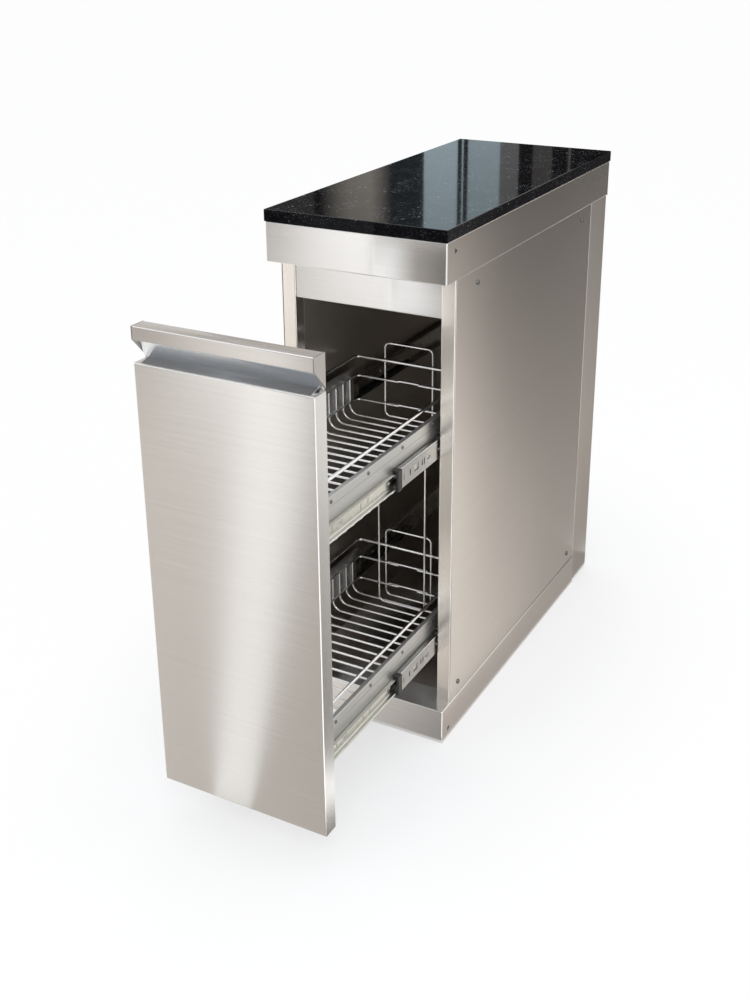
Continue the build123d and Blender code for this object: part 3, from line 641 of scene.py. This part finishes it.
@dataclass
class Slides:
    """The ball-bearing slides, from the cabinet members to the drawer members."""

    cabinet_member: ZincPlate = ZincPlate("cabinet_member_zinc", (0.52, 0.52, 0.50))
    middle_member: ZincPlate = ZincPlate("middle_member_zinc", (0.36, 0.36, 0.35), 0.24)
    drawer_member: ZincPlate = ZincPlate("drawer_member_zinc", (0.66, 0.65, 0.59), 0.26)
    ball: BrightWire = BrightWire("bearing_ball", (0.70, 0.70, 0.71), 0.08)
    guide: MouldedPlastic = field(default_factory=MouldedPlastic)

    def dress(self) -> None:
        """Gives the members their zinc, the balls their polish and the guides their plastic."""
        dress(self.cabinet_member, [f"slide_outer_{place}" for place in PLACES])
        dress(self.middle_member, [f"slide_middle_{place}" for place in PLACES])
        dress(self.drawer_member, [f"slide_inner_{place}" for place in PLACES])
        dress(self.cabinet_member, ["outer_ball_cages", "inner_ball_cages"])
        dress(self.ball, ["outer_balls", "inner_balls"])
        dress(self.guide, ["slide_end_guides"])


@dataclass
class DrawerFront:
    """The folded front, its handle and the sheet behind it."""

    front: BrushedSteel = BrushedSteel("drawer_steel", (0.70, 0.68, 0.655), 0.23, Grain.ACROSS)
    handle: BrushedSteel = BrushedSteel("handle_steel", (0.60, 0.57, 0.54), 0.24, Grain.ACROSS)
    cap: BrushedSteel = BrushedSteel("handle_cap_steel", (0.46, 0.43, 0.40), 0.30, Grain.DEEP, fold_highlight_share=0.2)
    # The groove's very pale, blue-tinted colour is a painted reflection of a pale blue sky, and its ledge
    # gets painted shade.
    groove: BrushedSteel = BrushedSteel(
        "groove_steel", (0.92, 0.945, 0.975), 0.24, Grain.ACROSS, fold_highlight_share=0.2, painted_ledge_shade=0.24
    )
    backing: BrushedSteel = BrushedSteel("backing_steel", (0.74, 0.72, 0.69), 0.32, Grain.UPRIGHT)

    def dress(self) -> None:
        """Gives the front and handle their brushing."""
        dress(self.front, ["drawer_face"])
        dress(self.handle, ["handle_bar"])
        dress(self.cap, ["handle_caps"])
        dress(self.groove, ["handle_groove"])
        dress(self.backing, ["drawer_backing"])


@dataclass
class Baskets:
    """The wire baskets and the rails that carry them."""

    wire: BrightWire = field(default_factory=BrightWire)
    rail: BrushedSteel = BrushedSteel("rail_steel", (0.95, 0.94, 0.91), 0.20, Grain.DEEP)
    # Painted shade: the rail screw heads are coloured near black to stand in for the shade on them.
    screw: ZincPlate = ZincPlate("rail_screw_steel", (0.16, 0.15, 0.14), 0.3, DARK_HEAD)

    def dress(self) -> None:
        """Gives the wires their plating and the rails their brushing."""
        for level in Level:
            dress(self.wire, [f"{level.value}_basket_{part}" for part in ("rim", "sides", "cross_wires")])
        dress(self.wire, ["upper_basket_guard", "lower_basket_guards", "rim_clips"])
        dress(self.rail, [f"basket_rail_{place}" for place in PLACES])
        dress(self.screw, ["rail_screws"])


def grey(level: float, warmth: float = 0.0) -> Colour:
    """A grey of one brightness.

    Args:
        level: its brightness.
        warmth: how far red rises and blue falls.

    Returns:
        The colour.
    """
    return (level * (1 + warmth), level, level * (1 - warmth))


def warm(level: float) -> Colour:
    """The warm grey of most studio cards."""
    return grey(level, CARD_WARMTH)


@dataclass(frozen=True)
class CardGlow(Finish):
    """The glow of a studio card, from a colour at each of its points."""

    name: str = "card_glow"
    layer: str = "glow"

    def write(self, recipe: Recipe) -> None:
        """Shows the colours that the card's points were given."""
        glow = recipe.node("ShaderNodeAttribute", {"attribute_name": self.layer}, {}, "Color")
        shader = recipe.node("ShaderNodeEmission", {}, {"Color": glow, "Strength": 1.0})
        recipe.raw("ShaderNodeOutputMaterial", {}, {"Surface": shader})


@dataclass(frozen=True)
class Card:
    """A flat studio card that shows only in reflections, with a colour at each corner."""

    name: str
    corners: tuple[Point, Point, Point, Point]
    glows: tuple[Colour, Colour, Colour, Colour]
    steps: int = 12

    def between(self, values: tuple[Colour, ...], across: float, along: float) -> Colour:
        """Reads the card between its corners.

        Args:
            values: what each corner holds.
            across: the share of the way from the first corner to the second.
            along: the share of the way from the first corner to the last.

        Returns:
            The mixed value.
        """
        shares = ((1 - across) * (1 - along), across * (1 - along), across * along, (1 - across) * along)
        return tuple(sum(share * value[i] for share, value in zip(shares, values)) for i in range(3))

    def build(self) -> None:
        """Makes the card as a grid, so that its colours run evenly."""
        finish = CardGlow()
        wide = self.steps + 1
        rows = [i / self.steps for i in range(wide)]
        spots = [(across, along) for along in rows for across in rows]
        starts = [row * wide + column for row in range(self.steps) for column in range(self.steps)]
        faces = [(start, start + 1, start + wide + 1, start + wide) for start in starts]
        mesh = bpy.data.meshes.new(self.name)
        mesh.from_pydata([self.between(self.corners, *spot) for spot in spots], [], faces)
        glow = mesh.color_attributes.new(finish.layer, "FLOAT_COLOR", "POINT")
        for point, spot in zip(glow.data, spots):
            point.color = (*self.between(self.glows, *spot), 1.0)
        mesh.materials.append(finish.material())
        card = bpy.data.objects.new(self.name, mesh)
        card.visible_camera = False
        card.visible_diffuse = False
        card.visible_shadow = False
        bpy.context.scene.collection.objects.link(card)


@dataclass(frozen=True)
class FloorCard:
    """A card that lies over the floor between two edges.

    Its levels are the brightness at the ends of its first edge and then, going on round it, at the ends of
    the opposite edge. Each layer lies a little higher than the one before.
    """

    name: str
    layer: int
    edge: tuple[Spot, Spot]
    opposite: tuple[Spot, Spot]
    levels: Levels
    warmth: float = CARD_WARMTH

    def card(self) -> Card:
        """The card at its layer's height."""
        spots = (*self.edge, *reversed(self.opposite))
        corners = tuple((x, y, self.layer * CARD_LIFT) for x, y in spots)
        return Card(self.name, corners, tuple(grey(level, self.warmth) for level in self.levels))


@dataclass(frozen=True)
class CardRow:
    """Upright cards in a row whose colours run evenly from stop to stop along X.

    The colours fade upwards to a share of themselves, and to no more than white.
    """

    name: str
    y: float
    heights: Span
    stops: tuple[Stop, ...]
    fade: float = 1.0

    def cards(self) -> list[Card]:
        """One card between each stop and the next."""
        cards = []
        for number, ((left, first), (right, second)) in enumerate(zip(self.stops, self.stops[1:])):
            glows = (first, second, shade(second, self.fade), shade(first, self.fade))
            cards.append(Card(f"{self.name}_{number}", upright((left, right), self.y, self.heights), glows))
        return cards


def upright(across: Span, y: float, heights: Span) -> tuple[Point, Point, Point, Point]:
    """The corners of a card that stands facing the cabinet.

    Args:
        across: its left and right ends.
        y: where it stands.
        heights: its lower and upper edges.

    Returns:
        The corners, from the lower left one on.
    """
    (left, right), (bottom, top) = across, heights
    return ((left, y, bottom), (right, y, bottom), (right, y, top), (left, y, top))


@dataclass
class FrontCards:
    """Cards before the cabinet, which the drawer front, apron, header and plinth mirror."""

    start_y: float = -0.76
    end_y: float = -2.9
    bright_y: Span = (-0.80, -2.75)
    header_y: Span = (-2.45, -2.94)
    plinth_x: Span = (-0.17, 0.168)
    plinth_y: Span = (-0.372, -0.70)
    wall_y: float = -2.95
    wall_heights: Span = (0.0, 1.8)
    wall_fade: float = 0.6
    flag_y: float = -0.45
    apron_flag: Span = (0.787, 0.868)
    header_flag: Span = (0.715, 0.787)

    def strip(
        self,
        name: str,
        layer: int,
        across: tuple[Span, Span],
        depths: Span,
        levels: Levels,
        warmth: float = CARD_WARMTH,
    ) -> FloorCard:
        """A floor card that runs away from the cabinet.

        Args:
            name: the card's name.
            layer: the layer that it lies in.
            across: its left and right ends at its near edge and at its far edge.
            depths: the places of those two edges.
            levels: the brightness at its corners.
            warmth: how far its grey leans to red.

        Returns:
            The card.
        """
        edge, opposite = [((left, y), (right, y)) for (left, right), y in zip(across, depths)]
        return FloorCard(name, layer, edge, opposite, levels, warmth)

    def floor(self) -> list[FloorCard]:
        """Two grey fields with a bright strip between them, and strips for the plinth, header and corner."""
        field_y = (self.start_y, self.end_y)
        split, far_split = -0.065, -1.30
        peak, far_peak = -1.06, -1.32
        return [
            self.strip("front_left_card", 1, ((-0.60, split), (-2.6, far_split)), field_y,
                       (0.92, 0.62, 0.56, 0.92)),
            self.strip("front_right_card", 1, ((split, 0.30), (far_split, -0.35)), field_y,
                       (0.62, 0.52, 0.46, 0.56)),
            self.strip("front_bright_card", 2, ((-0.10, -0.03), (-1.38, -1.08)), self.bright_y,
                       (1.15, 1.15, 1.6, 1.6), 0.0),
            self.strip("plinth_card", 1, (self.plinth_x, self.plinth_x), self.plinth_y,
                       (0.98, 0.30, 0.30, 0.98)),
            self.strip("header_left_card", 3, ((-1.49, peak), (-1.81, far_peak)), self.header_y,
                       (0.8, 1.7, 1.7, 0.8), 0.0),
            self.strip("header_right_card", 3, ((peak, -0.87), (far_peak, -1.11)), self.header_y,
                       (1.7, 0.65, 0.65, 1.7), 0.0),
            FloorCard("corner_card", 3, ((0.166, -0.376), (0.172, -0.368)), ((1.0, -3.5), (2.2, -3.3)),
                      (1.9, 1.9, 1.9, 1.9), 0.0),
        ]

    def rows(self) -> list[CardRow]:
        """The wall behind the floor cards, and the flags close to the apron and the header."""
        wall = (
            (-2.6, warm(0.50)),
            (-1.80, warm(0.36)),
            (-1.60, grey(1.90)),
            (-1.50, grey(1.40)),
            (-1.36, grey(2.30)),
            (-1.20, warm(0.60)),
            (-1.06, warm(0.26)),
            (-0.3, warm(0.40)),
        )
        apron = ((-0.005, grey(1.5)), (0.03, grey(1.1)), (0.07, warm(0.4)), (0.13, warm(0.18)))
        header = ((-0.02, grey(1.5)), (0.03, grey(1.25)), (0.11, warm(0.5)))
        return [
            CardRow("front_wall", self.wall_y, self.wall_heights, wall, self.wall_fade),
            CardRow("apron_card", self.flag_y, self.apron_flag, apron),
            CardRow("header_card", self.flag_y, self.header_flag, header),
        ]

    def cards(self) -> list[Card]:
        """All the cards before the cabinet."""
        return [flat.card() for flat in self.floor()] + [card for row in self.rows() for card in row.cards()]


@dataclass(frozen=True)
class SideFall:
    """How bright the cards are that the side panel mirrors at one of its depths, from foot to top."""

    depth: float
    foot: float
    middle: float
    top: float


@dataclass
class SideCards:
    """Cards beside the cabinet, which its side, its slides and the drawer front's edge mirror."""

    eye: Point
    near_x: float = 0.205
    wall_x: float = 0.7
    wall_top: float = 1.0
    face_x: float = 0.1605
    outer_x: float = 0.9
    plinth_x: float = 0.164
    plinth_end: float = 0.42
    falls: tuple[SideFall, ...] = (
        SideFall(-0.55, 0.95, 1.25, 0.12),
        SideFall(-0.36, 0.92, 1.10, 0.08),
        SideFall(-0.20, 0.80, 0.38, 0.05),
        SideFall(0.10, 0.48, 0.30, 0.04),
        SideFall(0.90, 0.34, 0.28, 0.03),
    )

    def floor(self) -> list[FloorCard]:
        """A dark card for the drawer front's edge, a paler one for the slides and one along the plinth."""
        outer, near, foot, end = self.outer_x, self.near_x, self.plinth_x, self.plinth_end
        return [
            FloorCard("drawer_side_card", 1, ((0.155, -1.05), (outer, 0.0)), ((0.155, -0.67), (outer, 0.60)),
                      (0.26, 0.24, 0.24, 0.26)),
            FloorCard("rail_card", 1, ((0.18, -0.60), (outer, 0.68)), ((0.18, -0.48), (outer, 0.88)),
                      (0.7, 0.7, 0.7, 0.7), 0.0),
            FloorCard("plinth_side_card", 2, ((foot, -end), (near, -end)), ((foot, end), (near, end)),
                      (0.56, 0.60, 0.44, 0.42)),
        ]

    def cards(self) -> list[Card]:
        """The floor cards, and the pairs that darken towards the rear and upwards."""
        cards = [flat.card() for flat in self.floor()]
        for number, (front, rear) in enumerate(zip(self.falls, self.falls[1:])):
            cards += self.pair(number, front, rear)
        return cards

    def pair(self, number: int, front: SideFall, rear: SideFall) -> list[Card]:
        """A floor card and a wall card that the side panel mirrors between two of its depths.

        Args:
            number: the pair's number.
            front: the brightness at the pair's front edge.
            rear: the brightness at its rear edge.

        Returns:
            The two cards.
        """
        near, far, high = self.near_x, self.wall_x, self.wall_top
        near_front, near_rear = self.mirrored(front.depth, near), self.mirrored(rear.depth, near)
        far_front, far_rear = self.mirrored(front.depth, far), self.mirrored(rear.depth, far)
        floor = FloorCard(
            f"side_floor_card_{number}",
            2,
            ((near, near_front), (far, far_front)),
            ((near, near_rear), (far, far_rear)),
            (front.foot, front.middle, rear.middle, rear.foot),
        )
        wall = Card(
            f"side_wall_card_{number}",
            ((far, far_front, 0.0), (far, far_rear, 0.0), (far, far_rear, high), (far, far_front, high)),
            (warm(front.middle), warm(rear.middle), warm(rear.top), warm(front.top)),
        )
        return [floor.card(), wall]

    def mirrored(self, depth: float, x: float) -> float:
        """Where the camera sees a distance beside the cabinet in its side panel.

        Args:
            depth: the panel's own Y.
            x: how far out the mirrored thing is.

        Returns:
            That thing's Y.
        """
        share = (x - self.face_x) / (self.eye[0] - self.face_x)
        return depth + (depth - self.eye[1]) * share


@dataclass
class StoneCards:
    """A dark wall behind the cabinet with paler panels, which the polished stone mirrors."""

    wall_y: float = 2.5
    heights: Span = (0.95, 1.85)
    soft_gap: float = 0.05
    brown: Colour = (0.42, 0.39, 0.35)
    pale: Colour = (0.58, 0.72, 0.78)
    handle_across: Span = (-3.3, -1.5)
    handle_heights: Span = (1.86, 2.8)

    def panels(self) -> list[Card]:
        """Panels of one colour each, every one a little nearer than the last."""
        panels = [
            ((-2.4, 0.9), warm(0.01)),
            ((-2.4, -1.82), warm(0.06)),
            ((-1.46, -1.30), shade(self.pale, 0.05)),
            ((-1.30, -1.152), self.pale),
            ((-1.133, -1.126), self.pale),
            ((-1.106, -0.97), shade(self.pale, 0.80)),
            ((-0.97, -0.892), grey(0.20)),
            ((-0.834, -0.756), warm(0.09)),
            ((-0.692, -0.682), warm(0.14)),
        ]
        cards = []
        for number, (across, colour) in enumerate(panels):
            corners = upright(across, self.wall_y - CARD_LIFT * number, self.heights)
            cards.append(Card(f"stone_card_{number}", corners, (colour,) * 4, 1))
        return cards

    def cards(self) -> list[Card]:
        """The panels, a soft brown band before them and a card over them for the handle's top."""
        band = (
            (-1.76, warm(0.01)),
            (-1.62, shade(self.brown, 0.85)),
            (-1.52, self.brown),
            (-1.42, warm(0.02)),
        )
        soft = CardRow("stone_soft_card", self.wall_y - self.soft_gap, self.heights, band)
        corners = upright(self.handle_across, self.wall_y, self.handle_heights)
        handle = Card("handle_top_card", corners, (warm(0.78), warm(0.55), warm(0.55), warm(0.78)))
        return [*self.panels(), *soft.cards(), handle]


@dataclass(frozen=True)
class Lamp:
    """A square studio lamp."""

    name: str
    place: Point
    target: Point
    size: float
    power: float

    def build(self) -> None:
        """Hangs the lamp and points it at its target."""
        data = bpy.data.lights.new(self.name, "AREA")
        data.shape = "SQUARE"
        data.size = self.size
        data.energy = self.power
        lamp = bpy.data.objects.new(self.name, data)
        lamp.location = self.place
        lamp.rotation_euler = (Vector(self.target) - Vector(self.place)).to_track_quat("-Z", "Y").to_euler()
        bpy.context.scene.collection.objects.link(lamp)


@dataclass
class Studio:
    """The floor, the daylight, the lamps, the cards and the camera."""

    floor_size: float = 40.0
    floor_colour: Colour = (0.95, 0.95, 0.95)
    floor_glow: float = 0.92
    shadow_glow: float = 0.42
    shadow_centre: Point = (0.0, -0.17, 0.0)
    shadow_scale: Point = (2.0, 1.1, 0.0)
    shadow_edges: Span = (0.42, 1.3)
    daylight: float = 0.86
    white: Colour = (1.0, 1.0, 1.0)
    zenith: Colour = (0.93, 0.965, 1.02)
    zenith_edges: Span = (0.3, 0.9)
    lamps: tuple[Lamp, ...] = (
        Lamp("overhead", (-0.2, -0.5, 3.4), (0.0, -0.2, 0.0), 2.2, 18.0),
        Lamp("key", (1.3, -2.4, 2.5), (0.0, -0.3, 0.5), 1.2, 14.0),
        Lamp("fill", (2.6, 0.4, 2.2), (0.1, 0.0, 0.4), 1.8, 10.0),
    )
    camera_place: Point = (0.960, -2.060, 1.368)
    camera_turn: float = math.radians(28.67)
    camera_dip: float = math.radians(21.08)
    camera_roll: float = math.radians(-0.43)
    camera_reach: float = 200.0
    focal_pixels: float = 1273.8
    image_height: float = 1000.0
    sensor: float = 36.0
    image_shift: float = -0.100

    def build(self) -> None:
        """Sets up everything round the part."""
        self.build_floor()
        self.build_world()
        for lamp in self.lamps:
            lamp.build()
        for group in (FrontCards(), SideCards(self.camera_place), StoneCards()):
            for card in group.cards():
                card.build()
        self.build_camera()
        bpy.context.scene.view_settings.view_transform = "Standard"

    def seen(self, recipe: Recipe) -> Signal:
        """1 for what the camera sees directly, in metal or through glass, and 0 for plain light.

        Args:
            recipe: the material or world being written.

        Returns:
            The mask.
        """
        path = recipe.raw("ShaderNodeLightPath", {}, {})
        rays = ("Is Camera Ray", "Is Glossy Ray", "Is Transmission Ray")
        camera, glossy, through = [Signal(recipe, path.outputs[name]) for name in rays]
        return camera.at_least(glossy).at_least(through)

    def build_floor(self) -> None:
        """A wide pale floor that keeps the shadow, and keeps more of it close to the cabinet."""
        half = self.floor_size / 2
        corners = [(-half, -half, 0), (half, -half, 0), (half, half, 0), (-half, half, 0)]
        mesh = bpy.data.meshes.new("floor")
        mesh.from_pydata(corners, [], [(0, 1, 2, 3)])
        floor = bpy.data.objects.new("floor", mesh)
        bpy.context.scene.collection.objects.link(floor)
        material = bpy.data.materials.new("pale_floor")
        material.use_nodes = True
        recipe = Recipe(material.node_tree)
        plain = recipe.node("ShaderNodeBsdfDiffuse", {}, {"Color": self.floor_colour})
        glow = recipe.node("ShaderNodeEmission", {}, {"Color": self.white, "Strength": 1.0})
        vector = "ShaderNodeVectorMath"
        offset = recipe.node(vector, {"operation": "SUBTRACT"}, {0: recipe.place(), 1: self.shadow_centre})
        reach = recipe.stretched(offset, self.shadow_scale)
        away = recipe.node(vector, {"operation": "LENGTH"}, {0: reach}, "Value").ease(*self.shadow_edges)
        share = (self.shadow_glow + (self.floor_glow - self.shadow_glow) * away) * self.seen(recipe)
        mixed = recipe.node("ShaderNodeMixShader", {}, {0: share, 1: plain, 2: glow})
        recipe.raw("ShaderNodeOutputMaterial", {}, {"Surface": mixed})
        mesh.materials.append(material)

    def build_world(self) -> None:
        """White where it is seen, a little cooler overhead, and plain daylight as a light."""
        world = bpy.data.worlds.new("studio")
        world.use_nodes = True
        bpy.context.scene.world = world
        recipe = Recipe(world.node_tree)
        strength = self.daylight + (1 - self.daylight) * self.seen(recipe)
        way = recipe.node("ShaderNodeTexCoord", {}, {}, "Generated")
        height = recipe.node("ShaderNodeSeparateXYZ", {}, {0: way}, "Z")
        colour = recipe.blend(height.ease(*self.zenith_edges), self.white, self.zenith)
        light = recipe.node("ShaderNodeBackground", {}, {"Color": colour, "Strength": strength})
        recipe.raw("ShaderNodeOutputWorld", {}, {"Surface": light})

    def build_camera(self) -> None:
        """The camera at the photograph's viewing angle."""
        data = bpy.data.cameras.new("camera")
        data.sensor_width = self.sensor
        data.lens = self.focal_pixels / self.image_height * self.sensor
        data.shift_y = self.image_shift
        data.clip_end = self.camera_reach
        camera = bpy.data.objects.new("camera", data)
        camera.location = self.camera_place
        level = math.pi / 2
        turn = Euler((level - self.camera_dip, 0.0, self.camera_turn)).to_matrix()
        camera.rotation_euler = (turn @ Euler((0.0, 0.0, self.camera_roll)).to_matrix()).to_euler()
        bpy.context.scene.collection.objects.link(camera)
        bpy.context.scene.camera = camera


def main() -> None:
    """Builds and dresses each sub-assembly, then the studio."""
    logging.basicConfig(level=logging.INFO)
    for assembly in (Worktop(), CabinetBody(), Slides(), DrawerFront(), Baskets()):
        assembly.dress()
        log.info("finished %s", type(assembly).__name__)
    Studio().build()


if __name__ == "__main__":
    main()
